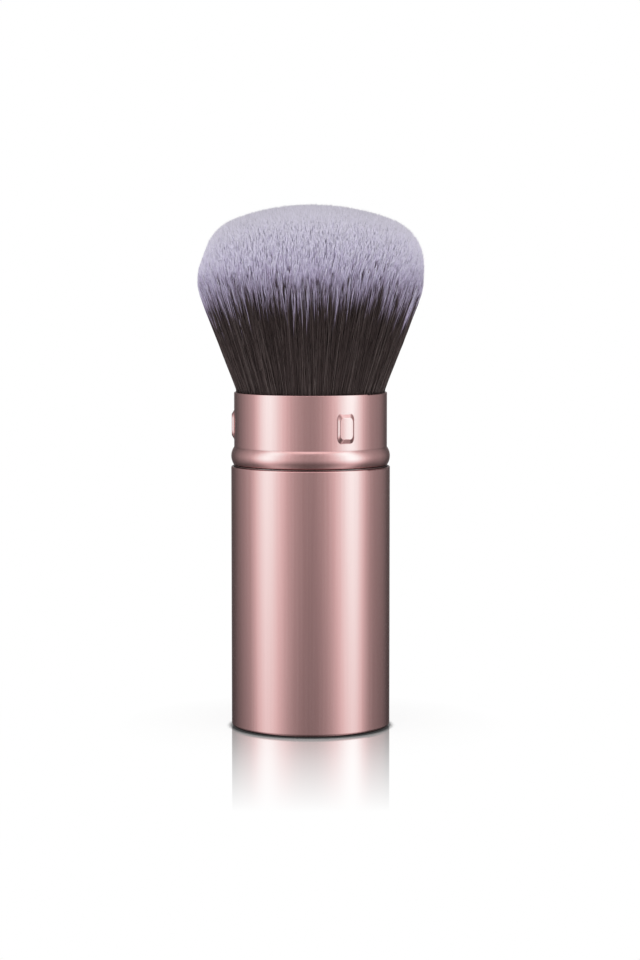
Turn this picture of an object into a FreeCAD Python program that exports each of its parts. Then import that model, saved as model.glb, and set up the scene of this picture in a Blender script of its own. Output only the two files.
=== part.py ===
"""Retractable kabuki makeup brush: a domed tuft on a fixed post, and a collar that slides up over it.

Millimetres, +Z up. The origin is the middle of the grip's underside, and the front of the brush faces -Y.
The collar is drawn at the bottom of its travel, with its bead on the rim of the grip.
"""

import FreeCAD, Part
import math
import os

# Grip: a deep-drawn aluminium cup
grip_diameter = 32.0
grip_wall = 0.5
grip_inner_corner = 0.2

# Collar: a drawn aluminium tube that telescopes in the grip
collar_wall = 0.4
telescope_clearance = 0.1
engaged_length = 8.8  # guide ring and tube still inside the grip with the collar right up
bead_height = 3.7
bead_projection = 0.6
bead_seat_gap = 0.2
cap_seat_length = 11.0  # from the bead to the collar's rim

# Catches: oblongs pressed out of the collar to hold a push-on cap
catch_count = 3
catch_width = 2.8  # of the raised face
catch_height = 4.2
catch_projection = 0.5
catch_side_run = 0.3  # how far a side slopes out from the face to the foot
catch_end_run = 0.8
catch_corner = 1.25
catch_bow_radius = 9.0
catch_edge_round = 0.25
catch_foot_round = 0.3
catch_rise = 4.4  # from the bead up to the middle of a catch
catch_turn = 27.0  # degrees from the front to the first catch

# Tuft: outline of the bundle of filaments, at the mean surface of their tips
tuft_diameter = 45.3
tuft_free_height = 37.3  # from the collar's rim to the crown
tuft_belly_radius = 9.3
tuft_side_radius = 18.7
tuft_side_turn = 19.4
tuft_shoulder_radius = 9.8
tuft_shoulder_turn = 50.1
tuft_neck_gap = 0.25
tuft_cover = 0.7  # how far the raised rim stands above the crown, to clear the longest tips

# Ferrule: an aluminium band crimped on the post's head
ferrule_clearance = 0.3
ferrule_wall = 0.4
ferrule_recess = 2.4
crimp_height = 1.6
crimp_depth = 0.3

# Post: a moulded cross with the head that carries the ferrule
post_core_diameter = 9.0
rib_thickness = 1.8
flange_thickness = 1.0
head_height = 3.5
head_wall = 2.0
head_recess_depth = 2.5
adhesive_depth = 2.7

# Guide ring: moulded, glued in the foot of the collar, and keyed on the ribs
ring_flange_height = 4.4
ring_spigot_height = 5.0
ring_skirt_wall = 1.65  # outside the pocket
ring_pocket_width = 0.9
ring_hub_wall = 0.75  # between the pocket and the ends of the ribs
key_depth = 1.5  # how deep the ribs run in the ring's slots
ring_pocket_depth = 6.0
guide_clearance = 0.15
landing_gap = 0.45
stop_gap = 0.2

# Friction rings: rubber rings in grooves round the guide ring
friction_ring_names = ("lower", "upper")
friction_ring_section = 1.3
friction_ring_gap = 0.05
friction_groove_gap = 0.08

# Base: the insert at the bottom of the grip, its weight and its screw
insert_corner_gap = 0.2
insert_skirt_wall = 1.9  # outside the weight
insert_boss_wall = 2.35  # between the weight and the screw's head
insert_web = 1.05  # between the weight and the post's socket
socket_depth = 1.5
weight_thickness = 2.4
screw_diameter = 3.0
screw_length = 14.0
screw_tip_length = 1.5
screw_head_diameter = 5.6
screw_head_height = 1.7
screw_head_round = 0.6
screw_recess_span = 3.0
screw_recess_width = 0.7
screw_recess_depth = 0.8
screw_head_sink = 0.3
screw_head_gap = 0.3
screw_hole_gap = 0.2
pilot_gap = 0.02
pilot_spare = 1.0

glue_gap = 0.05  # glue line or snug fit between pieces that don't move on each other

# Radii
grip_radius = grip_diameter / 2
grip_bore_radius = grip_radius - grip_wall
collar_radius = grip_bore_radius - telescope_clearance
collar_bore_radius = collar_radius - collar_wall
ferrule_radius = collar_bore_radius - ferrule_clearance
ferrule_bore_radius = ferrule_radius - ferrule_wall
head_radius = ferrule_bore_radius - glue_gap
head_recess_radius = head_radius - head_wall
spigot_radius = collar_bore_radius - glue_gap
pocket_outer_radius = spigot_radius - ring_skirt_wall
pocket_inner_radius = pocket_outer_radius - ring_pocket_width
rib_reach = pocket_inner_radius - ring_hub_wall - guide_clearance
ring_bore_radius = rib_reach - key_depth
insert_radius = grip_bore_radius - glue_gap
weight_radius = insert_radius - insert_skirt_wall - glue_gap
screw_head_hole_radius = screw_head_diameter / 2 + screw_head_gap
weight_bore_radius = screw_head_hole_radius + insert_boss_wall + glue_gap
tuft_radius = tuft_diameter / 2
tuft_neck_radius = collar_bore_radius - tuft_neck_gap
tuft_root_radius = ferrule_bore_radius - glue_gap

# Heights at the base, from the floor of the grip up
insert_bottom = grip_wall + glue_gap
weight_pocket_top = insert_bottom + weight_thickness + glue_gap
socket_floor = weight_pocket_top + insert_web
insert_top = socket_floor + socket_depth
screw_seat = insert_bottom + screw_head_height + screw_head_sink
ring_bottom = insert_top + landing_gap
ring_shoulder = ring_bottom + ring_flange_height
ring_top = ring_shoulder + ring_spigot_height

# Heights that follow from the collar's travel
collar_travel = tuft_free_height + tuft_cover
grip_height = ring_bottom + collar_travel + engaged_length
bead_middle = grip_height + bead_seat_gap + bead_height / 2
collar_top = bead_middle + bead_height / 2 + cap_seat_length
flange_bottom = ring_top + collar_travel + stop_gap
ferrule_bottom = flange_bottom + flange_thickness
crimp_middle = ferrule_bottom + head_height / 2
head_top = ferrule_bottom + head_height
head_recess_floor = head_top - head_recess_depth
adhesive_top = head_top + adhesive_depth
ferrule_top = collar_top - ferrule_recess
tuft_top = collar_top + tuft_free_height


class Section:
    """One half of a turned section, drawn edge by edge in the XZ plane and revolved about Z."""

    def __init__(self, radius, height):
        self.first = FreeCAD.Vector(radius, 0, height)
        self.last = self.first
        self.edges = []

    def line(self, radius, height):
        end = FreeCAD.Vector(radius, 0, height)
        self.edges.append(Part.LineSegment(self.last, end).toShape())
        self.last = end

    def arc(self, through_radius, through_height, radius, height):
        through = FreeCAD.Vector(through_radius, 0, through_height)
        end = FreeCAD.Vector(radius, 0, height)
        self.edges.append(Part.Arc(self.last, through, end).toShape())
        self.last = end

    def arc_about(self, centre_radius, centre_height, radius, height):
        """Draws the shorter arc about a centre to a point as far from it as the last one."""
        centre = FreeCAD.Vector(centre_radius, 0, centre_height)
        out = self.last - centre
        middle = out + FreeCAD.Vector(radius, 0, height) - centre
        middle.normalize()
        through = centre + middle * out.Length
        self.arc(through.x, through.z, radius, height)

    def half_round(self, radius, height):
        """Rounds over a thin edge to a point level with the last one."""
        half_wall = (self.last.x - radius) / 2
        self.arc(radius + half_wall, height + half_wall, radius, height)

    def rolled(self, wall_radius, middle, centre_radius, arc_radius, heading):
        """Runs along a wall to a rolled bead or crimp and round it, up or down by the heading."""
        half = math.sqrt(arc_radius**2 - (wall_radius - centre_radius) ** 2)
        self.line(wall_radius, middle - heading * half)
        self.arc_about(centre_radius, middle, wall_radius, middle + heading * half)

    def revolved(self):
        self.line(self.first.x, self.first.z)
        face = Part.Face(Part.Wire(self.edges))
        return face.revolve(FreeCAD.Vector(), FreeCAD.Vector(0, 0, 1), 360)


def cylinder(radius, bottom, top):
    return Part.makeCylinder(radius, top - bottom, FreeCAD.Vector(0, 0, bottom))


def chord_radius(chord, rise):
    """Radius of the arc that stands a given rise above its chord."""
    return (chord**2 / 4 + rise**2) / (2 * rise)


def ribbed_post(bottom, top, clearance):
    """The post's core and its crossed ribs, with a clearance all round."""
    reach = rib_reach + clearance
    thickness = rib_thickness + 2 * clearance
    post = cylinder(post_core_diameter / 2 + clearance, bottom, top)
    corner = FreeCAD.Vector(-reach, -thickness / 2, bottom)
    rib = Part.makeBox(2 * reach, thickness, top - bottom, corner)
    rib = rib.common(cylinder(reach, bottom, top))
    crossed = rib.copy()
    crossed.rotate(FreeCAD.Vector(), FreeCAD.Vector(0, 0, 1), 90)
    return post.fuse([rib, crossed]).removeSplitter()


def make_grip_cup():
    corner = grip_inner_corner + grip_wall
    centre = grip_radius - corner
    cup = Section(0, 0)
    cup.line(centre, 0)
    cup.arc_about(centre, corner, grip_radius, corner)
    cup.line(grip_radius, grip_height - grip_wall / 2)
    cup.half_round(grip_bore_radius, grip_height - grip_wall / 2)
    cup.line(grip_bore_radius, corner)
    cup.arc_about(centre, corner, centre, grip_wall)
    cup.line(0, grip_wall)
    return cup.revolved()


def slope_inset(run, depth):
    """How far a catch's slope steps in sideways at a depth under its skin."""
    return depth * (math.hypot(run, catch_projection) - run) / catch_projection


def catch_block(depth):
    """A catch's tapered block facing +Y, at a depth under its skin, with a bowed face."""
    side_inset = slope_inset(catch_side_run, depth)
    end_inset = slope_inset(catch_end_run, depth)
    ends = []
    for rise in (-2.0, 1.4):  # in projections: deep in the bore, and beyond the face
        side = catch_width / 2 + catch_side_run * (1 - rise) - side_inset
        end = catch_height / 2 + catch_end_run * (1 - rise) - end_inset
        ends.append((side, end, collar_radius - depth + rise * catch_projection))
    (side, end, inner), (far_side, far_end, outer) = ends
    block = Part.makeWedge(-side, inner, -end, -far_end, -far_side, side, outer, end, far_end, far_side)
    slanted = [edge for edge in block.Edges if edge.BoundBox.YLength > catch_projection]
    block = block.makeFillet(catch_corner - side_inset, slanted)
    bow = cylinder(catch_bow_radius - depth, -catch_height, catch_height)
    bow.translate(FreeCAD.Vector(0, collar_radius + catch_projection - catch_bow_radius, 0))
    return block.common(bow)


def foot_edges(sleeve, middle):
    """The edges where the catches meet the outside of the collar."""
    found = []
    for edge in sleeve.Edges:
        ends = edge.valueAt(edge.FirstParameter), edge.valueAt(edge.LastParameter)
        on_wall = all(abs(math.hypot(end.x, end.y) - collar_radius) < 1e-4 for end in ends)
        if on_wall and all(abs(end.z - middle) < catch_height for end in ends):
            found.append(edge)
    return found


def make_collar_sleeve():
    bead_arc = chord_radius(bead_height, bead_projection)
    bead_centre = collar_radius + bead_projection - bead_arc
    rim = collar_top - collar_wall / 2
    tube = Section(collar_radius, ring_shoulder)
    tube.rolled(collar_radius, bead_middle, bead_centre, bead_arc, 1)
    tube.line(collar_radius, rim)
    tube.half_round(collar_bore_radius, rim)
    tube.rolled(collar_bore_radius, bead_middle, bead_centre, bead_arc - collar_wall, -1)
    tube.line(collar_bore_radius, ring_shoulder)
    sleeve = tube.revolved()

    pad = catch_block(0)
    face = max(pad.Faces, key=lambda face: face.CenterOfMass.y)
    pad = pad.makeFillet(catch_edge_round, face.Edges)
    pad = pad.cut(cylinder(collar_bore_radius, -2 * catch_height, 2 * catch_height))
    hollow = catch_block(collar_wall)
    middle = collar_top - cap_seat_length + catch_rise
    raised, pressed = [], []
    for number in range(catch_count):
        turn = catch_turn - 180 + number * 360 / catch_count
        place = FreeCAD.Placement(
            FreeCAD.Vector(0, 0, middle), FreeCAD.Rotation(FreeCAD.Vector(0, 0, 1), turn)
        )
        for shape, placed in ((pad, raised), (hollow, pressed)):
            placed.append(shape.copy())
            placed[-1].Placement = place
    sleeve = sleeve.fuse(raised)
    sleeve = sleeve.makeFillet(catch_foot_round, foot_edges(sleeve, middle))
    return sleeve.cut(pressed).removeSplitter()


def make_guide_ring():
    pocket_floor = ring_top - ring_pocket_depth
    body = Section(ring_bore_radius, ring_bottom)
    body.line(collar_radius, ring_bottom)
    body.line(collar_radius, ring_shoulder)
    body.line(spigot_radius, ring_shoulder)
    body.line(spigot_radius, ring_top)
    body.line(pocket_outer_radius, ring_top)
    body.line(pocket_outer_radius, pocket_floor)
    body.line(pocket_inner_radius, pocket_floor)
    body.line(pocket_inner_radius, ring_top)
    body.line(ring_bore_radius, ring_top)
    ring = body.revolved().cut(ribbed_post(ring_bottom, ring_top, guide_clearance))
    half_groove = friction_ring_section / 2 + friction_groove_gap
    groove_floor = friction_ring_radius() - half_groove
    for height in friction_ring_heights():
        groove = cylinder(grip_radius, height - half_groove, height + half_groove)
        core = cylinder(groove_floor, height - half_groove, height + half_groove)
        ring = ring.cut(groove.cut(core))
    return ring


def friction_ring_radius():
    return grip_bore_radius - friction_ring_gap - friction_ring_section / 2


def friction_ring_heights():
    pitch = ring_flange_height / len(friction_ring_names)
    return [ring_bottom + pitch * (n + 0.5) for n in range(len(friction_ring_names))]


def make_friction_ring(height):
    place = FreeCAD.Vector(0, 0, height)
    return Part.makeTorus(friction_ring_radius(), friction_ring_section / 2, place)


def make_base_insert():
    chamfer = grip_inner_corner + insert_corner_gap
    disc = Section(0, insert_bottom)
    disc.line(insert_radius - chamfer, insert_bottom)
    disc.line(insert_radius, insert_bottom + chamfer)
    disc.line(insert_radius, insert_top)
    disc.line(0, insert_top)
    pocket = cylinder(weight_radius + glue_gap, insert_bottom, weight_pocket_top)
    boss = cylinder(weight_bore_radius - glue_gap, insert_bottom, weight_pocket_top)
    head_hole = cylinder(screw_head_hole_radius, insert_bottom, screw_seat)
    shank_hole = cylinder(screw_diameter / 2 + screw_hole_gap, insert_bottom, insert_top)
    socket = ribbed_post(socket_floor, insert_top, glue_gap)
    return disc.revolved().cut([pocket.cut(boss), head_hole, shank_hole, socket])


def make_base_weight():
    top = insert_bottom + weight_thickness
    hole = cylinder(weight_bore_radius, insert_bottom, top)
    return cylinder(weight_radius, insert_bottom, top).cut(hole)


def make_post_screw():
    head_bottom = screw_seat - screw_head_height
    head_edge = screw_head_diameter / 2
    tip = screw_seat + screw_length
    round_centre = head_edge - screw_head_round
    turned = Section(0, head_bottom)
    turned.line(round_centre, head_bottom)
    turned.arc_about(
        round_centre, head_bottom + screw_head_round, head_edge, head_bottom + screw_head_round
    )
    turned.line(head_edge, screw_seat)
    turned.line(screw_diameter / 2, screw_seat)
    turned.line(screw_diameter / 2, tip - screw_tip_length)
    turned.line(0, tip)
    corner = FreeCAD.Vector(-screw_recess_span / 2, -screw_recess_width / 2, head_bottom)
    slot = Part.makeBox(screw_recess_span, screw_recess_width, screw_recess_depth, corner)
    crossed = slot.copy()
    crossed.rotate(FreeCAD.Vector(), FreeCAD.Vector(0, 0, 1), 90)
    return turned.revolved().cut([slot, crossed])


def make_brush_post():
    crimp_arc = chord_radius(crimp_height, crimp_depth)
    crimp_centre = ferrule_radius - crimp_depth + crimp_arc
    groove_arc = crimp_arc + ferrule_wall + glue_gap
    head = Section(0, flange_bottom)
    head.line(ferrule_radius, flange_bottom)
    head.line(ferrule_radius, ferrule_bottom)
    head.line(head_radius, ferrule_bottom)
    head.rolled(head_radius, crimp_middle, crimp_centre, groove_arc, 1)
    head.line(head_radius, head_top)
    head.line(head_recess_radius, head_top)
    head.line(head_recess_radius, head_recess_floor)
    head.line(0, head_recess_floor)
    pilot_top = screw_seat + screw_length + pilot_spare
    pilot = cylinder(screw_diameter / 2 + pilot_gap, socket_floor, pilot_top)
    post = ribbed_post(socket_floor, flange_bottom, 0).fuse(head.revolved())
    return post.removeSplitter().cut(pilot)


def make_brush_ferrule():
    crimp_arc = chord_radius(crimp_height, crimp_depth)
    crimp_centre = ferrule_radius - crimp_depth + crimp_arc
    rim = ferrule_top - ferrule_wall / 2
    band = Section(ferrule_radius, ferrule_bottom)
    band.rolled(ferrule_radius, crimp_middle, crimp_centre, crimp_arc, 1)
    band.line(ferrule_radius, rim)
    band.half_round(ferrule_bore_radius, rim)
    band.rolled(ferrule_bore_radius, crimp_middle, crimp_centre, crimp_arc + ferrule_wall, -1)
    band.line(ferrule_bore_radius, ferrule_bottom)
    return band.revolved()


def make_root_adhesive():
    key_radius = head_recess_radius - glue_gap
    plug = Section(0, head_recess_floor)
    plug.line(key_radius, head_recess_floor)
    plug.line(key_radius, head_top)
    plug.line(head_radius, head_top)
    plug.line(head_radius, adhesive_top)
    plug.line(0, adhesive_top)
    return plug.revolved()


def make_bristle_tuft():
    """A straight flare, a belly, an upright side and a tight shoulder run into a shallow crown."""
    side_turn = math.radians(tuft_side_turn)
    both_turns = side_turn + math.radians(tuft_shoulder_turn)
    side_centre = tuft_radius - tuft_side_radius
    side_end = side_centre + tuft_side_radius * math.cos(side_turn)
    side_rise = tuft_side_radius * math.sin(side_turn)
    shoulder_centre = side_end - tuft_shoulder_radius * math.cos(side_turn)
    shoulder_drop = tuft_shoulder_radius * math.sin(side_turn)
    shoulder_end = shoulder_centre + tuft_shoulder_radius * math.cos(both_turns)
    shoulder_rise = tuft_shoulder_radius * math.sin(both_turns)
    crown_radius = shoulder_end / math.cos(both_turns)
    crown_rise = crown_radius * (1 - math.sin(both_turns))
    widest = tuft_top - crown_rise - shoulder_rise + shoulder_drop - side_rise
    shoulder_height = widest + side_rise - shoulder_drop

    belly_centre = tuft_radius - tuft_belly_radius
    run = widest - collar_top
    reach = belly_centre - tuft_neck_radius
    flare = math.asin(tuft_belly_radius / math.hypot(run, reach)) + math.atan2(reach, run)
    belly_start = belly_centre + tuft_belly_radius * math.cos(flare)
    belly_drop = tuft_belly_radius * math.sin(flare)

    bundle = Section(0, adhesive_top)
    bundle.line(tuft_root_radius, adhesive_top)
    bundle.line(tuft_root_radius, ferrule_top)
    bundle.line(tuft_neck_radius, collar_top)
    bundle.line(belly_start, widest - belly_drop)
    bundle.arc_about(belly_centre, widest, tuft_radius, widest)
    bundle.arc_about(side_centre, widest, side_end, widest + side_rise)
    bundle.arc_about(
        shoulder_centre, shoulder_height, shoulder_end, shoulder_height + shoulder_rise
    )
    bundle.arc_about(0, tuft_top - crown_radius, 0, tuft_top)
    return bundle.revolved()


def main():
    parts = {
        "grip_cup": make_grip_cup(),
        "base_insert": make_base_insert(),
        "base_weight": make_base_weight(),
        "post_screw": make_post_screw(),
        "brush_post": make_brush_post(),
        "brush_ferrule": make_brush_ferrule(),
        "root_adhesive": make_root_adhesive(),
        "bristle_tuft": make_bristle_tuft(),
        "collar_sleeve": make_collar_sleeve(),
        "guide_ring": make_guide_ring(),
    }
    for name, height in zip(friction_ring_names, friction_ring_heights()):
        parts["friction_ring_" + name] = make_friction_ring(height)
    os.makedirs("parts", exist_ok=True)
    for name, shape in parts.items():
        shape.exportStep(f"parts/{name}.step")
        print(f"{name}: {len(shape.Solids)} solid, {shape.Volume:.1f} mm3, valid {shape.isValid()}")
    print(f"grip {grip_height:.2f}, collar {collar_top:.2f}, tuft {tuft_top:.2f}, travel {collar_travel:.2f}")


main()
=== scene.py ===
import math

import bpy
import numpy as np
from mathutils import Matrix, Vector, kdtree


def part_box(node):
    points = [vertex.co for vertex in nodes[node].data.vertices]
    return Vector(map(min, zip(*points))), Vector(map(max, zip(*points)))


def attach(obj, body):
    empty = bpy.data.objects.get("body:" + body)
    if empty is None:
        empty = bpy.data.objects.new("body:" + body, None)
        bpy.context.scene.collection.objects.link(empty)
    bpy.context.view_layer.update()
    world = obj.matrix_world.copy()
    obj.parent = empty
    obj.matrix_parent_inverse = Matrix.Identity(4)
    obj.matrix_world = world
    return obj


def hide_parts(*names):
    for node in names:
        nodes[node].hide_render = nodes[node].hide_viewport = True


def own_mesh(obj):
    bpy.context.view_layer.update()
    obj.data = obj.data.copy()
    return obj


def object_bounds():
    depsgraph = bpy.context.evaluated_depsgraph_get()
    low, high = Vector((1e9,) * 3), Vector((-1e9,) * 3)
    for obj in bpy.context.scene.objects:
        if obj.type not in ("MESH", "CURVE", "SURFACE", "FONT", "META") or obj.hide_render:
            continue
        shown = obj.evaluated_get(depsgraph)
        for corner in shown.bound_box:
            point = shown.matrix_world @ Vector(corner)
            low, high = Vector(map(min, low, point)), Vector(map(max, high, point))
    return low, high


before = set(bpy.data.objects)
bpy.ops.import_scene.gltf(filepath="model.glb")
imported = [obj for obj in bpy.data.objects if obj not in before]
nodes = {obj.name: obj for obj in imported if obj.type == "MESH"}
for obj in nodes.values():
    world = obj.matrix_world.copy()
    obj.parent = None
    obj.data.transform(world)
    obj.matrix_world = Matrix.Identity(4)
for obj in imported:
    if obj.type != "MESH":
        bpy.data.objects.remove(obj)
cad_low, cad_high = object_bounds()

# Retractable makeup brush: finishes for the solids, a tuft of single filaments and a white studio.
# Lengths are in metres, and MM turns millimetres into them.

MM = 0.001
FULL_TURN = 2 * math.pi
scene = bpy.context.scene
scene.view_settings.view_transform = "Standard"


# Materials

def linear(hex_colour):
    """Linear RGBA of an sRGB hex colour."""
    levels = [int(hex_colour[i:i + 2], 16) / 255 for i in (1, 3, 5)]
    return [v / 12.92 if v <= 0.04045 else ((v + 0.055) / 1.055) ** 2.4 for v in levels] + [1.0]


def grey(level):
    """A neutral RGBA of the given linear level."""
    return (level, level, level, 1.0)


def add(tree, kind, settings=None, links=None):
    """Adds a node. Settings are input values by name or number, ramp stops, or the node's own options."""
    made = tree.nodes.new(kind)
    for name, value in (settings or {}).items():
        if name == "stops":
            while len(made.color_ramp.elements) < len(value):
                made.color_ramp.elements.new(1.0)
            for element, (position, colour) in zip(made.color_ramp.elements, value):
                element.position = position
                element.color = colour
        elif isinstance(name, int) or name in made.inputs:
            made.inputs[name].default_value = value
        else:
            setattr(made, name, value)
    for name, socket in (links or {}).items():
        tree.links.new(socket, made.inputs[name])
    return made


def empty_tree(owner):
    """The owner's node tree, switched on and cleared."""
    owner.use_nodes = True
    owner.node_tree.nodes.clear()
    return owner.node_tree


def anodised_aluminium():
    """Drawn aluminium, etched and anodised rose gold: a satin metal whose pink deepens in the shade.
    Faint draw lines run along the tube, and the etch breaks up the shine very finely. Painted shade
    darkens the base colour in the joints and creases, by how hidden they are."""
    line_spacing = 0.35 * MM
    line_length = 40 * MM
    etch_grain = 0.12 * MM
    etch_depth = 0.01 * MM
    joint_depth = 1.2 * MM
    joint_shade_level = 0.06
    crease_depth = 0.4 * MM
    crease_shade_level = 0.55
    smoothest, roughest = 0.19, 0.23
    material = bpy.data.materials.new("rose_gold_anodised_aluminium")
    tree = empty_tree(material)
    place = add(tree, "ShaderNodeTexCoord").outputs["Object"]
    stretch = line_spacing / line_length
    along = add(tree, "ShaderNodeMapping", {"Scale": (1, 1, stretch)}, {"Vector": place})
    lines = add(tree, "ShaderNodeTexNoise", {"Scale": 1 / line_spacing, "Detail": 2.0},
                {"Vector": along.outputs[0]})
    etch = add(tree, "ShaderNodeTexNoise", {"Scale": 1 / etch_grain, "Detail": 1.0}, {"Vector": place})
    dye = add(tree, "ShaderNodeValToRGB", {"stops": [(0.3, linear("#EFBAB9")), (0.7, linear("#F3BFBE"))]},
              {"Fac": lines.outputs["Fac"]})
    # Painted shade: ambient occlusion darkens the base colour in the joints and in the finer creases.
    joint = add(tree, "ShaderNodeAmbientOcclusion", {"Distance": joint_depth, "samples": 8})
    joint_painted_shade = add(tree, "ShaderNodeMapRange",
                     {"From Min": 0.3, "From Max": 0.85, "To Min": joint_shade_level, "To Max": 1.0},
                     {"Value": joint.outputs["AO"]})
    crease = add(tree, "ShaderNodeAmbientOcclusion", {"Distance": crease_depth, "samples": 8})
    crease_painted_shade = add(tree, "ShaderNodeMapRange",
                {"From Min": 0.78, "From Max": 0.95, "To Min": crease_shade_level, "To Max": 1.0},
                {"Value": crease.outputs["AO"]})
    painted_shade = add(tree, "ShaderNodeMath", {"operation": "MULTIPLY"},
                 {0: joint_painted_shade.outputs["Result"], 1: crease_painted_shade.outputs["Result"]})
    tone = add(tree, "ShaderNodeMix", {"data_type": "RGBA", "blend_type": "MULTIPLY", "Factor": 1.0},
               {6: dye.outputs["Color"], 7: painted_shade.outputs[0]})
    satin = add(tree, "ShaderNodeMapRange",
                {"From Min": 0.3, "From Max": 0.7, "To Min": smoothest, "To Max": roughest},
                {"Value": lines.outputs["Fac"]})
    grain = add(tree, "ShaderNodeBump", {"Strength": 0.04, "Distance": etch_depth},
                {"Height": etch.outputs["Fac"]})
    shader = add(tree, "ShaderNodeBsdfPrincipled", {"Metallic": 1.0},
                 {"Base Color": tone.outputs[2], "Roughness": satin.outputs["Result"],
                  "Normal": grain.outputs["Normal"]})
    add(tree, "ShaderNodeOutputMaterial", links={"Surface": shader.outputs[0]})
    return material


def bright_aluminium():
    """Bare drawn aluminium: pale grey metal with fine lines round the ring."""
    line_spacing = 0.2 * MM
    line_length = 10 * MM
    smoothest, roughest = 0.22, 0.38
    material = bpy.data.materials.new("bright_drawn_aluminium")
    tree = empty_tree(material)
    place = add(tree, "ShaderNodeTexCoord").outputs["Object"]
    stretch = line_spacing / line_length
    around = add(tree, "ShaderNodeMapping", {"Scale": (stretch, stretch, 1)}, {"Vector": place})
    lines = add(tree, "ShaderNodeTexNoise", {"Scale": 1 / line_spacing, "Detail": 2.0},
                {"Vector": around.outputs[0]})
    tone = add(tree, "ShaderNodeValToRGB",
               {"stops": [(0.3, linear("#D5D6D8")), (0.7, linear("#E4E5E6"))]},
               {"Fac": lines.outputs["Fac"]})
    satin = add(tree, "ShaderNodeMapRange", {"To Min": smoothest, "To Max": roughest},
                {"Value": lines.outputs["Fac"]})
    shader = add(tree, "ShaderNodeBsdfPrincipled", {"Metallic": 1.0},
                 {"Base Color": tone.outputs["Color"], "Roughness": satin.outputs["Result"]})
    add(tree, "ShaderNodeOutputMaterial", links={"Surface": shader.outputs[0]})
    return material


def zinc_plate():
    """Zinc plated and clear passivated steel: a cool grey metal, cloudy from the plating bath."""
    cloud_width = 1.5 * MM
    smoothest, roughest = 0.25, 0.5
    material = bpy.data.materials.new("zinc_plated_steel")
    tree = empty_tree(material)
    place = add(tree, "ShaderNodeTexCoord").outputs["Object"]
    cloud = add(tree, "ShaderNodeTexNoise", {"Scale": 1 / cloud_width, "Detail": 4.0}, {"Vector": place})
    tone = add(tree, "ShaderNodeValToRGB",
               {"stops": [(0.35, linear("#AEB3BC")), (0.65, linear("#C9CBCE"))]},
               {"Fac": cloud.outputs["Fac"]})
    satin = add(tree, "ShaderNodeMapRange", {"To Min": smoothest, "To Max": roughest},
                {"Value": cloud.outputs["Fac"]})
    shader = add(tree, "ShaderNodeBsdfPrincipled", {"Metallic": 1.0},
                 {"Base Color": tone.outputs["Color"], "Roughness": satin.outputs["Result"]})
    add(tree, "ShaderNodeOutputMaterial", links={"Surface": shader.outputs[0]})
    return material


def moulded_plastic(name, dark, light, grain, roughness):
    """Injection moulded plastic: an even colour with the fine spark-eroded grain of the mould."""
    pit_depth = 0.02 * MM
    material = bpy.data.materials.new(name)
    tree = empty_tree(material)
    place = add(tree, "ShaderNodeTexCoord").outputs["Object"]
    pits = add(tree, "ShaderNodeTexNoise", {"Scale": 1 / grain, "Detail": 2.0}, {"Vector": place})
    tone = add(tree, "ShaderNodeValToRGB", {"stops": [(0.35, linear(dark)), (0.65, linear(light))]},
               {"Fac": pits.outputs["Fac"]})
    relief = add(tree, "ShaderNodeBump", {"Strength": 0.25, "Distance": pit_depth},
                 {"Height": pits.outputs["Fac"]})
    shader = add(tree, "ShaderNodeBsdfPrincipled", {"Roughness": roughness},
                 {"Base Color": tone.outputs["Color"], "Normal": relief.outputs["Normal"]})
    add(tree, "ShaderNodeOutputMaterial", links={"Surface": shader.outputs[0]})
    return material


def cast_resin():
    """Cast epoxy: amber with a glossy set surface and a few milky streaks."""
    streak_width = 2.5 * MM
    material = bpy.data.materials.new("cast_epoxy_resin")
    tree = empty_tree(material)
    place = add(tree, "ShaderNodeTexCoord").outputs["Object"]
    streaks = add(tree, "ShaderNodeTexNoise",
                  {"Scale": 1 / streak_width, "Detail": 3.0, "Distortion": 1.0}, {"Vector": place})
    tone = add(tree, "ShaderNodeValToRGB",
               {"stops": [(0.35, linear("#C19C58")), (0.7, linear("#DDC594"))]},
               {"Fac": streaks.outputs["Fac"]})
    shader = add(tree, "ShaderNodeBsdfPrincipled", {"Roughness": 0.12, "IOR": 1.55},
                 {"Base Color": tone.outputs["Color"]})
    add(tree, "ShaderNodeOutputMaterial", links={"Surface": shader.outputs[0]})
    return material


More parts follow.
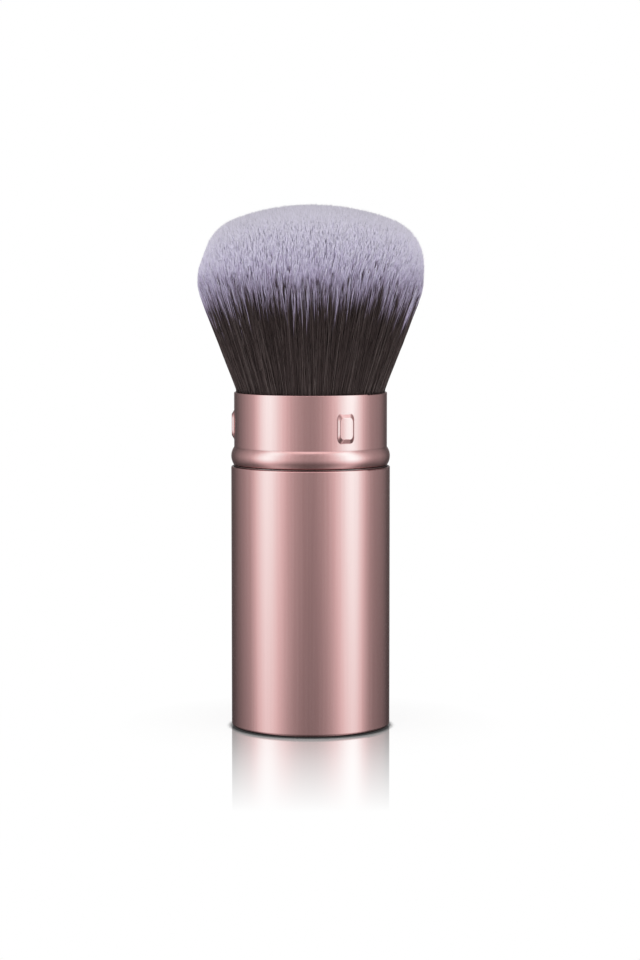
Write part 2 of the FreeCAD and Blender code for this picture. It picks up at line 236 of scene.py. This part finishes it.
def dyed_filament():
    """Polyester filament, dyed dark brown from the root and left pale lavender towards the tip.
    Each filament carries its height above its own dye line, and its own shade from 0 to 1: the dark
    lengths differ a good deal from one another and the pale ones hardly at all. Along the pale length
    light and shade are painted in: darker just above the dye line and at the point, lightest between."""
    bleed = 2.0 * MM
    pale_length = 20 * MM
    dark_shades = [(0.0, linear("#392D2C")), (0.7, linear("#514443")), (1.0, linear("#756967"))]
    # Pale tones: the pale dye, with painted light and shade along the length.
    pale_tones_painted_light = [(0.0, linear("#BFAECF")), (0.15, linear("#CFC6E0")), (0.4, linear("#E5E0F2")),
                  (0.7, linear("#DDD9E7")), (1.0, linear("#C7C3D0"))]
    material = bpy.data.materials.new("dyed_polyester_filament")
    tree = empty_tree(material)
    height = add(tree, "ShaderNodeAttribute", {"attribute_name": "height_over_dye"}).outputs["Fac"]
    shade = add(tree, "ShaderNodeAttribute", {"attribute_name": "shade"}).outputs["Fac"]
    dark = add(tree, "ShaderNodeValToRGB", {"stops": dark_shades}, {"Fac": shade})
    along = add(tree, "ShaderNodeMapRange", {"From Max": pale_length}, {"Value": height})
    pale = add(tree, "ShaderNodeValToRGB", {"stops": pale_tones_painted_light}, {"Fac": along.outputs["Result"]})
    own = add(tree, "ShaderNodeMapRange", {"To Min": 0.9, "To Max": 1.05}, {"Value": shade})
    pale_own_painted_light = add(tree, "ShaderNodeMix", {"data_type": "RGBA", "blend_type": "MULTIPLY", "Factor": 1.0},
                   {6: pale.outputs["Color"], 7: own.outputs["Result"]})
    undyed = add(tree, "ShaderNodeMapRange",
                 {"interpolation_type": "SMOOTHSTEP", "From Min": -bleed, "From Max": bleed},
                 {"Value": height})
    tone = add(tree, "ShaderNodeMix", {"data_type": "RGBA"},
               {0: undyed.outputs["Result"], 6: dark.outputs["Color"], 7: pale_own_painted_light.outputs[2]})
    shader = add(tree, "ShaderNodeBsdfPrincipled", {"Roughness": 0.5, "Specular IOR Level": 0.25},
                 {"Base Color": tone.outputs[2]})
    add(tree, "ShaderNodeOutputMaterial", links={"Surface": shader.outputs[0]})
    return material


rose_gold = anodised_aluminium()
abs_black = moulded_plastic("moulded_abs", "#161618", "#1F1F22", grain=0.15 * MM, roughness=0.5)
acetal = moulded_plastic("moulded_acetal", "#DAD9D3", "#E4E3DE", grain=0.3 * MM, roughness=0.32)
rubber = moulded_plastic("moulded_rubber", "#0F0F0F", "#1B1B1A", grain=0.1 * MM, roughness=0.75)
zinc = zinc_plate()
finishes = {
    "grip_cup": rose_gold,
    "collar_sleeve": rose_gold,
    "brush_ferrule": bright_aluminium(),
    "root_adhesive": cast_resin(),
    "base_insert": abs_black,
    "brush_post": abs_black,
    "guide_ring": acetal,
    "friction_ring_lower": rubber,
    "friction_ring_upper": rubber,
    "base_weight": zinc,
    "post_screw": zinc,
}
for name, material in finishes.items():
    nodes[name].data.materials.clear()
    nodes[name].data.materials.append(material)


# Bristles

# Outline of the tuft, as its solid has it, and how far the longest tips stand above it
tuft_low, tuft_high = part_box("bristle_tuft")
mouth_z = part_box("collar_sleeve")[1].z
ferrule_top_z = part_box("brush_ferrule")[1].z
crown_z = tuft_high.z
widest_r = tuft_high.x
root_z = tuft_low.z
ROOT_R = 14.2 * MM
NECK_R = 14.75 * MM
FLARE_TURN = math.radians(21.05)
BELLY_R = 9.3 * MM
SIDE_R = 18.7 * MM
SIDE_TURN = math.radians(19.4)
SHOULDER_R = 9.8 * MM
SHOULDER_TURN = math.radians(50.1)
TIP_RISE = 0.35 * MM
belly_low_r = widest_r - BELLY_R * (1 - math.cos(FLARE_TURN))
belly_low_z = mouth_z + (belly_low_r - NECK_R) / math.tan(FLARE_TURN)
widest_z = belly_low_z + BELLY_R * math.sin(FLARE_TURN)

# Filaments, and the locks, the pieces they are split into by their turn about the axis
FILAMENTS = 60000
LOCKS = 24
GOLDEN_ANGLE = math.pi * (3 - math.sqrt(5))

# A filament is a closed three-sided tube that narrows a little before its point. Zones run from the
# middle of the tuft outwards, with the filaments' radius and their rings as shares of their length.
# The outer filaments are finer and are seen all along, the inner ones only at their tips.
SIDES = 3
NIB = 0.8
ROOT_LIFT = 0.4 * MM
ZONES = [
    (0.0, 0.80, 0.108 * MM, [0.0, 0.17, 0.975, 1.0]),
    (0.80, 0.93, 0.085 * MM, [0.0, 0.20, 0.56, 0.97, 1.0]),
    (0.93, 2.0, 0.052 * MM, [0.0, 0.26, 0.38, 0.50, 0.62, 0.74, 0.86, 0.96, 1.0]),
]

# How the filaments lie. Pairs are for the inner and the outer filaments, with a soft change between the
# first two shares of the tuft's radius. Spreads are shares of that radius. Above the collar the filaments
# wave a little, and towards the crown they lean a little to the right.
OUTER_BETWEEN = (0.75, 0.95)
SPREAD_OUTWARDS = (0.09, 0.006)
SPREAD_SIDEWAYS = (0.1, 0.03)
WAVE = 0.05 * MM
WAVE_FULL = 10 * MM
LEAN = 0.75 * MM
LEAN_FROM_Z = 90 * MM
LEAN_FULL = 7 * MM

# Tips draw together in clumps, each to its own degree, but not outwards past the reach
CLUMPS = 14000
CLUMP_SCATTER = 0.4
CLUMP_DEGREE = (0.3, 1.0)
CLUMP_PULL = (0.1, 0.45)
PULLED_REACH = 0.98

# Lengths: small differences between clumps and between filaments, and some that are clearly short
CLUMP_TIP_SPREAD = 0.08 * MM
TIP_SPREAD = 0.06 * MM
TIP_SHORTFALL = 0.14 * MM
SHORT_SHARE = (0.04, 0.2)
SHORT_BY = (2.5 * MM, 5 * MM)

# Dye: its line is uneven, higher at the front and back than at the sides, with dark streaks up from it,
# pale ones down, and under the surface higher again, partly dye and partly painted shade in the gaps
DYE_LINE_Z = 85.3 * MM
DYE_WAVE = 1.2 * MM
DYE_AND_SHADE_RISE = 1.5 * MM
DYE_AND_SHADE_RISE_WITHIN = 0.025
DYE_SPREAD = 1.4 * MM
CLUMP_DYE_SPREAD = 1.3 * MM
DARK_STREAK_SHARE = 0.08
DARK_STREAK_RISE = (2 * MM, 5.5 * MM)
PALE_STREAK_SHARE = 0.05
PALE_STREAK_DROP = (1 * MM, 3.5 * MM)
SHADE_MEAN = 0.38
SHADE_SPREAD = 0.2
SHADE_MOST = 0.85

# Loose, lighter filaments on the outside
STRAYS = 160
STRAY_FROM = 0.965
STRAY_REACH = (0.98, 1.01)
STRAY_TURN = (-0.07, 0.07)
STRAY_LENGTH = (-4 * MM, 1.5 * MM)
STRAY_SHADE = (0.65, 0.95)


def smooth(value):
    """A soft step from 0 to 1."""
    value = np.clip(value, 0, 1)
    return value * value * (3 - 2 * value)


def between(pair, outer):
    """The value for filaments that are inner ones at 0 and outer ones at 1."""
    return pair[0] + (pair[1] - pair[0]) * outer


def flare(z):
    """Radius that the outermost filaments reach at a height, carried straight on past their tips."""
    held = np.interp(z, [ferrule_top_z, mouth_z], [ROOT_R, NECK_R])
    return np.where(z < mouth_z, held, NECK_R + (z - mouth_z) * math.tan(FLARE_TURN))


def trimmed_top():
    """Shares of the flare and the heights where filaments of that share end, from the middle out."""
    turn = np.linspace(-FLARE_TURN, 0, 12)
    belly_r = widest_r - BELLY_R * (1 - np.cos(turn))
    belly_z = widest_z + BELLY_R * np.sin(turn)
    turn = np.linspace(0, SIDE_TURN, 20)
    side_r = widest_r - SIDE_R * (1 - np.cos(turn))
    side_z = widest_z + SIDE_R * np.sin(turn)
    turn = np.linspace(SIDE_TURN, SIDE_TURN + SHOULDER_TURN, 20)
    shoulder_r = side_r[-1] - SHOULDER_R * (math.cos(SIDE_TURN) - np.cos(turn))
    shoulder_z = side_z[-1] + SHOULDER_R * (np.sin(turn) - math.sin(SIDE_TURN))
    reach = shoulder_r[-1]
    drop = crown_z - shoulder_z[-1]
    crown_r = (reach ** 2 + drop ** 2) / (2 * drop)
    crown_reach = np.linspace(reach, 0, 30)
    crown = crown_z - crown_r + np.sqrt(crown_r ** 2 - crown_reach ** 2)
    radii = np.concatenate([belly_r, side_r[1:], shoulder_r[1:], crown_reach[1:]])
    heights = np.concatenate([belly_z, side_z[1:], shoulder_z[1:], crown[1:]])
    return (radii / flare(heights))[::-1], heights[::-1]


def on_disc(share, turn):
    """Places at shares of the unit disc's radius."""
    return np.stack([share * np.cos(turn), share * np.sin(turn)], axis=1)


def scatter(share, turn, outwards, sideways, rng):
    """Places on the unit disc, moved at random by up to twice the given shares of its radius."""
    outwards = outwards * np.clip(rng.normal(0, 1, len(share)), -2, 2)
    sideways = sideways * np.clip(rng.normal(0, 1, len(share)), -2, 2)
    place = on_disc(share + outwards, turn) + on_disc(sideways, turn + math.pi / 2)
    return place / np.maximum(1, np.linalg.norm(place, axis=1))[:, None]


def gather_tips(tip, outer, stray, rng):
    """Each tip's clump, and the tips drawn towards the middles of their clumps."""
    order = np.arange(CLUMPS) + 0.5
    clumps = on_disc(np.sqrt(order / CLUMPS), order * GOLDEN_ANGLE)
    clumps += rng.normal(0, CLUMP_SCATTER * math.sqrt(math.pi / CLUMPS), clumps.shape)
    tree = kdtree.KDTree(CLUMPS)
    for number, (x, y) in enumerate(clumps):
        tree.insert((x, y, 0), number)
    tree.balance()
    clump = np.array([tree.find((x, y, 0))[1] for x, y in tip])
    pull = rng.uniform(*CLUMP_DEGREE, CLUMPS)[clump] * between(CLUMP_PULL, outer)
    pull[stray] = 0
    pulled = tip + (clumps[clump] - tip) * pull[:, None]
    reach = np.maximum(np.linalg.norm(tip, axis=1), PULLED_REACH)
    return clump, pulled * np.minimum(1, reach / np.linalg.norm(pulled, axis=1))[:, None]


def trim_tips(tip, outer, stray, clump, rng):
    """Heights of the tips."""
    tip_z = np.interp(np.linalg.norm(tip, axis=1), *trimmed_top()) + TIP_RISE
    tip_z += rng.normal(0, CLUMP_TIP_SPREAD, CLUMPS)[clump] + rng.normal(0, TIP_SPREAD, FILAMENTS)
    tip_z -= rng.exponential(TIP_SHORTFALL, FILAMENTS)
    short = rng.random(FILAMENTS) < between(SHORT_SHARE, outer)
    tip_z -= np.where(short, rng.random(FILAMENTS) * between(SHORT_BY, outer), 0)
    tip_z[stray] += rng.uniform(*STRAY_LENGTH, STRAYS)
    return tip_z


def dye_lines(share, turn, clump, rng):
    """Heights at which the filaments change from dark to pale."""
    clump_dye = rng.normal(0, CLUMP_DYE_SPREAD, CLUMPS)
    dark = rng.random(CLUMPS) < DARK_STREAK_SHARE
    clump_dye += np.where(dark, rng.uniform(*DARK_STREAK_RISE, CLUMPS), 0)
    pale = rng.random(CLUMPS) < PALE_STREAK_SHARE
    clump_dye -= np.where(pale, rng.uniform(*PALE_STREAK_DROP, CLUMPS), 0)
    dye_z = DYE_LINE_Z + clump_dye[clump] + rng.normal(0, DYE_SPREAD, FILAMENTS)
    # Partly painted shade: filaments under the surface stay dark higher up than the outermost ones.
    under_surface = np.clip((1 - share) / DYE_AND_SHADE_RISE_WITHIN, 0, 1)
    return dye_z + DYE_AND_SHADE_RISE * under_surface - DYE_WAVE * np.cos(2 * turn)


def comb_filaments(rng):
    """Each filament's share of the tuft's radius, its places on the unit disc at its root and its tip,
    its tip's height, its dye line, its shade and its lock."""
    order = np.arange(FILAMENTS) + 0.5
    share = np.sqrt(order / FILAMENTS)
    turn = order * GOLDEN_ANGLE
    outer_from, outer_full = OUTER_BETWEEN
    outer = smooth((share - outer_from) / (outer_full - outer_from))
    outwards = between(SPREAD_OUTWARDS, outer)
    sideways = between(SPREAD_SIDEWAYS, outer)
    root = scatter(share, turn, outwards, sideways, rng)
    tip = scatter(share, turn, outwards, sideways, rng)

    shade = np.clip(rng.normal(SHADE_MEAN, SHADE_SPREAD, FILAMENTS), 0, SHADE_MOST)
    stray = rng.choice(np.flatnonzero(share > STRAY_FROM), STRAYS, replace=False)
    root[stray] = on_disc(1.0, turn[stray])
    stray_reach = rng.uniform(*STRAY_REACH, STRAYS)
    stray_turn = turn[stray] + rng.uniform(*STRAY_TURN, STRAYS)
    tip[stray] = on_disc(stray_reach, stray_turn)
    shade[stray] = rng.uniform(*STRAY_SHADE, STRAYS)

    clump, tip = gather_tips(tip, outer, stray, rng)
    tip_z = trim_tips(tip, outer, stray, clump, rng)
    dye_z = dye_lines(share, turn, clump, rng)
    lock = np.floor(turn % FULL_TURN / FULL_TURN * LOCKS).astype(int)
    return share, root, tip, tip_z, dye_z, shade, lock


def filament_lines(rings, root, tip, tip_z, rng):
    """Centre lines of filaments through rings at the given shares of their length."""
    start_z = root_z + ROOT_LIFT
    z = start_z + (tip_z - start_z)[:, None] * np.array(rings)
    risen = np.clip((z - mouth_z) / (tip_z - mouth_z)[:, None], 0, 1)
    unit = root[:, None] + (tip - root)[:, None] * risen[:, :, None]
    across = unit * flare(z)[:, :, None]
    wave = rng.normal(0, WAVE, across.shape)
    across += wave * smooth((z - mouth_z) / WAVE_FULL)[:, :, None]
    lean = LEAN * smooth((z - LEAN_FROM_Z) / LEAN_FULL)
    across[:, :, 0] += lean * np.linalg.norm(unit, axis=2)
    return np.concatenate([across, z[:, :, None]], axis=2)


def filament_faces(rings):
    """Triangles of one filament: its closed root, its sides and its point."""
    point = (rings - 1) * SIDES
    faces = [[0, 2, 1]]
    for ring in range(rings - 2):
        for side in range(SIDES):
            low = ring * SIDES + side
            low_next = ring * SIDES + (side + 1) % SIDES
            faces.append([low, low_next, low_next + SIDES])
            faces.append([low, low_next + SIDES, low + SIDES])
    for side in range(SIDES):
        faces.append([point - SIDES + side, point - SIDES + (side + 1) % SIDES, point])
    return np.array(faces)


def lock_mesh(name, groups):
    """One mesh of a lock's filaments, which carry their heights over the dye line and their shades."""
    points, triangles, heights, shades = [], [], [], []
    first = 0
    for lines, radius, dye_z, shade, twist in groups:
        count, rings, _ = lines.shape
        corner = twist[:, None] + np.arange(SIDES) * FULL_TURN / SIDES
        offset = radius * np.stack([np.cos(corner), np.sin(corner), np.zeros_like(corner)], axis=2)
        thickness = np.ones(rings - 1)
        thickness[-1] = NIB
        tube = lines[:, :-1, None] + offset[:, None] * thickness[None, :, None, None]
        filaments = np.concatenate([tube.reshape(count, -1, 3), lines[:, -1:]], axis=1)
        size = filaments.shape[1]
        starts = first + np.arange(count) * size
        first += count * size
        points.append(filaments.reshape(-1, 3))
        triangles.append((filament_faces(rings)[None] + starts[:, None, None]).reshape(-1, 3))
        heights.append((filaments[:, :, 2] - dye_z[:, None]).ravel())
        shades.append(np.repeat(shade, size))

    triangles = np.concatenate(triangles)
    mesh = bpy.data.meshes.new(name)
    mesh.vertices.add(first)
    mesh.vertices.foreach_set("co", np.concatenate(points).astype(np.float32).ravel())
    mesh.loops.add(triangles.size)
    mesh.loops.foreach_set("vertex_index", triangles.astype(np.int32).ravel())
    mesh.polygons.add(len(triangles))
    mesh.polygons.foreach_set("loop_start", np.arange(0, triangles.size, 3, dtype=np.int32))
    mesh.update(calc_edges=True)
    mesh.shade_smooth()
    for attribute, values in (("height_over_dye", heights), ("shade", shades)):
        layer = mesh.attributes.new(attribute, "FLOAT", "POINT")
        layer.data.foreach_set("value", np.concatenate(values).astype(np.float32))
    return mesh


rng = np.random.default_rng(7)
share, root, tip, tip_z, dye_z, shade, lock_of = comb_filaments(rng)
twist = rng.random(FILAMENTS) * FULL_TURN
lock_groups = [[] for _ in range(LOCKS)]
for zone_from, zone_to, radius, rings in ZONES:
    for lock in range(LOCKS):
        mine = (lock_of == lock) & (share >= zone_from) & (share < zone_to)
        lines = filament_lines(rings, root[mine], tip[mine], tip_z[mine], rng)
        lock_groups[lock].append((lines, radius, dye_z[mine], shade[mine], twist[mine]))

filament = dyed_filament()
for lock in range(LOCKS):
    piece_name = f"bristle_lock_{lock + 1:02d}"
    mesh = lock_mesh(piece_name, lock_groups[lock])
    mesh.materials.append(filament)
    piece = bpy.data.objects.new(piece_name, mesh)
    scene.collection.objects.link(piece)
    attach(piece, "base")
    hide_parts("bristle_tuft")
    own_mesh(piece)


# Studio

LAMP_AIM_Z = 85 * MM


def stage_object(name, points, faces, material):
    """A piece of the studio, which isn't part of the brush."""
    mesh = bpy.data.meshes.new(name)
    mesh.from_pydata(points, [], faces)
    mesh.materials.append(material)
    made = bpy.data.objects.new(name, mesh)
    scene.collection.objects.link(made)
    return made


def floor_acrylic():
    """Polished white acrylic: white all over, with a mirror image that fades away from the foot. The
    brush's shadow shows round the foot, and a painted contact shadow darkens it where the two touch."""
    mirror_from, mirror_to = 16 * MM, 88 * MM
    mirror_most = 0.7
    shadow_from, shadow_to = 17 * MM, 40 * MM
    white_least = 0.62
    touch_gap = 1.5 * MM
    painted_shadow_level = 0.2
    material = bpy.data.materials.new("polished_white_acrylic")
    tree = empty_tree(material)
    place = add(tree, "ShaderNodeTexCoord").outputs["Object"]
    away = add(tree, "ShaderNodeVectorMath", {"operation": "LENGTH"}, {0: place}).outputs["Value"]
    mirror = add(tree, "ShaderNodeMapRange",
                 {"From Min": mirror_from, "From Max": mirror_to, "To Min": mirror_most, "To Max": 0.0},
                 {"Value": away})
    lit = add(tree, "ShaderNodeMapRange",
              {"From Min": shadow_from, "From Max": shadow_to, "To Min": white_least, "To Max": 1.0},
              {"Value": away})
    white = add(tree, "ShaderNodeEmission", {"Color": grey(1.0), "Strength": 1.0})
    matt = add(tree, "ShaderNodeBsdfDiffuse", {"Color": grey(0.92)})
    sheet = add(tree, "ShaderNodeMixShader",
                links={0: lit.outputs["Result"], 1: matt.outputs[0], 2: white.outputs[0]})
    gloss = add(tree, "ShaderNodeBsdfGlossy", {"Color": grey(1.0), "Roughness": 0.0})
    polished = add(tree, "ShaderNodeMixShader",
                   links={0: mirror.outputs["Result"], 1: sheet.outputs[0], 2: gloss.outputs[0]})
    # Painted shadow: ambient occlusion mixes a black sheet into the floor right where the brush touches
    # it.
    near = add(tree, "ShaderNodeAmbientOcclusion", {"Distance": touch_gap, "samples": 8})
    open_floor = add(tree, "ShaderNodeMapRange",
                     {"From Min": 0.5, "From Max": 0.9, "To Min": painted_shadow_level, "To Max": 1.0},
                     {"Value": near.outputs["AO"]})
    painted_contact_shadow = add(tree, "ShaderNodeBsdfDiffuse", {"Color": grey(0.0)})
    with_painted_shadow = add(tree, "ShaderNodeMixShader",
                  links={0: open_floor.outputs["Result"], 1: painted_contact_shadow.outputs[0], 2: polished.outputs[0]})
    path = add(tree, "ShaderNodeLightPath")
    seen = add(tree, "ShaderNodeMixShader",
               links={0: path.outputs["Is Camera Ray"], 1: matt.outputs[0], 2: with_painted_shadow.outputs[0]})
    add(tree, "ShaderNodeOutputMaterial", links={"Surface": seen.outputs[0]})
    material.cycles.emission_sampling = "NONE"
    return material


def graded_card():
    """Card round the set that shows only in soft reflections, such as the satin metal's, and not in the
    floor's sharp one: two bright upright strips on darker grey, with levels by azimuth from the front.
    It is brighter towards its top, and where it is brightest its red is held back, so that the shine on
    the pink metal turns pale."""
    strips = [(-180, 0.36), (-165, 0.15), (-150, 0.03), (-122, 0.26), (-94, 0.44), (-81, 0.98),
              (-70, 1.52), (-58, 1.50), (-44, 0.88), (-28, 0.50), (-8, 0.32), (8, 0.30), (28, 0.56),
              (42, 0.95), (55, 1.60), (67, 1.74), (77.5, 1.0), (89, 0.46), (104, 0.31), (130, 0.24),
              (150, 0.03), (165, 0.15), (180, 0.36)]
    low_z, low_share = -200 * MM, 0.4
    high_z, high_share = 70 * MM, 1.2
    red_slope, red_start = 0.33, 0.57
    brightest = max(level for _, level in strips)
    stops = [((angle + 180) / 360, grey(level / brightest)) for angle, level in strips]
    material = bpy.data.materials.new("graded_studio_card")
    tree = empty_tree(material)
    place = add(tree, "ShaderNodeTexCoord").outputs["Object"]
    split = add(tree, "ShaderNodeSeparateXYZ", links={0: place})
    towards = add(tree, "ShaderNodeMath", {"operation": "MULTIPLY", 1: -1.0}, {0: split.outputs["Y"]})
    azimuth = add(tree, "ShaderNodeMath", {"operation": "ARCTAN2"},
                  {0: split.outputs["X"], 1: towards.outputs[0]})
    share = add(tree, "ShaderNodeMapRange", {"From Min": -math.pi, "From Max": math.pi},
                {"Value": azimuth.outputs[0]})
    level = add(tree, "ShaderNodeValToRGB", {"stops": stops}, {"Fac": share.outputs["Result"]})
    level.color_ramp.interpolation = "B_SPLINE"
    rise = add(tree, "ShaderNodeMapRange",
               {"From Min": low_z, "From Max": high_z,
                "To Min": low_share * brightest, "To Max": high_share * brightest},
               {"Value": split.outputs["Z"]})
    light = add(tree, "ShaderNodeMath", {"operation": "MULTIPLY"},
                {0: level.outputs["Color"], 1: rise.outputs["Result"]})
    held = add(tree, "ShaderNodeMath", {"operation": "MULTIPLY_ADD", 1: red_slope, 2: red_start},
               {0: light.outputs[0]})
    red = add(tree, "ShaderNodeMath", {"operation": "MINIMUM"}, {0: light.outputs[0], 1: held.outputs[0]})
    colour = add(tree, "ShaderNodeCombineColor",
                 links={"Red": red.outputs[0], "Green": light.outputs[0], "Blue": light.outputs[0]})
    glow = add(tree, "ShaderNodeEmission", links={"Color": colour.outputs[0]})
    clear = add(tree, "ShaderNodeBsdfTransparent")
    path = add(tree, "ShaderNodeLightPath")
    card = add(tree, "ShaderNodeMixShader",
               links={0: path.outputs["Is Singular Ray"], 1: glow.outputs[0], 2: clear.outputs[0]})
    add(tree, "ShaderNodeOutputMaterial", links={"Surface": card.outputs[0]})
    material.cycles.emission_sampling = "NONE"
    return material


def white_studio():
    """A white world behind everything. It lights the brush at a lower level than it shows itself at."""
    fill = 0.45
    world = bpy.data.worlds.new("white_studio")
    tree = empty_tree(world)
    path = add(tree, "ShaderNodeLightPath")
    looked_at = add(tree, "ShaderNodeMath", {"operation": "MAXIMUM"},
                    {0: path.outputs["Is Camera Ray"], 1: path.outputs["Is Glossy Ray"]})
    seen = add(tree, "ShaderNodeMath", {"operation": "MAXIMUM"},
               {0: looked_at.outputs[0], 1: path.outputs["Is Transmission Ray"]})
    strength = add(tree, "ShaderNodeMapRange", {"To Min": fill, "To Max": 1.0},
                   {"Value": seen.outputs[0]})
    white = add(tree, "ShaderNodeBackground", {"Color": grey(1.0)},
                {"Strength": strength.outputs["Result"]})
    add(tree, "ShaderNodeOutputWorld", links={"Surface": white.outputs[0]})
    return world


def soft_box(name, place, width, height, power):
    """A rectangular lamp aimed at the middle of the tuft, which metal doesn't mirror."""
    lamp = bpy.data.lights.new(name, "AREA")
    lamp.shape = "RECTANGLE"
    lamp.size = width
    lamp.size_y = height
    lamp.energy = power
    made = bpy.data.objects.new(name, lamp)
    scene.collection.objects.link(made)
    made.location = place
    aim = Vector((0, 0, LAMP_AIM_Z)) - Vector(place)
    made.rotation_euler = aim.to_track_quat("-Z", "Y").to_euler()
    made.visible_glossy = False


FLOOR_HALF = 4.0
FLOOR_GAP = 0.05 * MM
floor_z = cad_low.z - FLOOR_GAP
floor_points = [(-FLOOR_HALF, -FLOOR_HALF, floor_z), (FLOOR_HALF, -FLOOR_HALF, floor_z),
                (FLOOR_HALF, FLOOR_HALF, floor_z), (-FLOOR_HALF, FLOOR_HALF, floor_z)]
floor = stage_object("floor", floor_points, [(0, 1, 2, 3)], floor_acrylic())
floor.visible_glossy = False

CARD_R = 0.5
CARD_LOW = -0.5
CARD_HIGH = 0.6
CARD_PANELS = 96
card_points = []
card_faces = []
for panel in range(CARD_PANELS):
    turn = panel / CARD_PANELS * FULL_TURN
    after = (panel + 1) % CARD_PANELS
    for height in (CARD_LOW, CARD_HIGH):
        card_points.append((CARD_R * math.cos(turn), CARD_R * math.sin(turn), height))
    card_faces.append((2 * panel, 2 * after, 2 * after + 1, 2 * panel + 1))
card_faces.append(tuple(2 * panel for panel in range(CARD_PANELS)))
card = stage_object("graded_card", card_points, card_faces, graded_card())
card.visible_camera = False
card.visible_diffuse = False
card.visible_transmission = False
card.visible_volume_scatter = False
card.visible_shadow = False

scene.world = white_studio()

soft_box("top_box", (0.0, -0.25, 0.75), width=0.5, height=0.5, power=2.6)
soft_box("left_box", (-0.6, -0.35, 0.25), width=0.3, height=0.7, power=1.8)
soft_box("right_box", (0.6, -0.35, 0.25), width=0.3, height=0.7, power=1.8)

CAMERA_PLACE = (1.9 * MM, -550 * MM, 95 * MM)
CAMERA_DROP = 4.69
camera_data = bpy.data.cameras.new("camera")
camera_data.sensor_width = 36.0
camera_data.lens = 102.5
camera = bpy.data.objects.new("camera", camera_data)
scene.collection.objects.link(camera)
camera.location = CAMERA_PLACE
camera.rotation_euler = (math.radians(90 - CAMERA_DROP), 0, 0)
scene.camera = camera
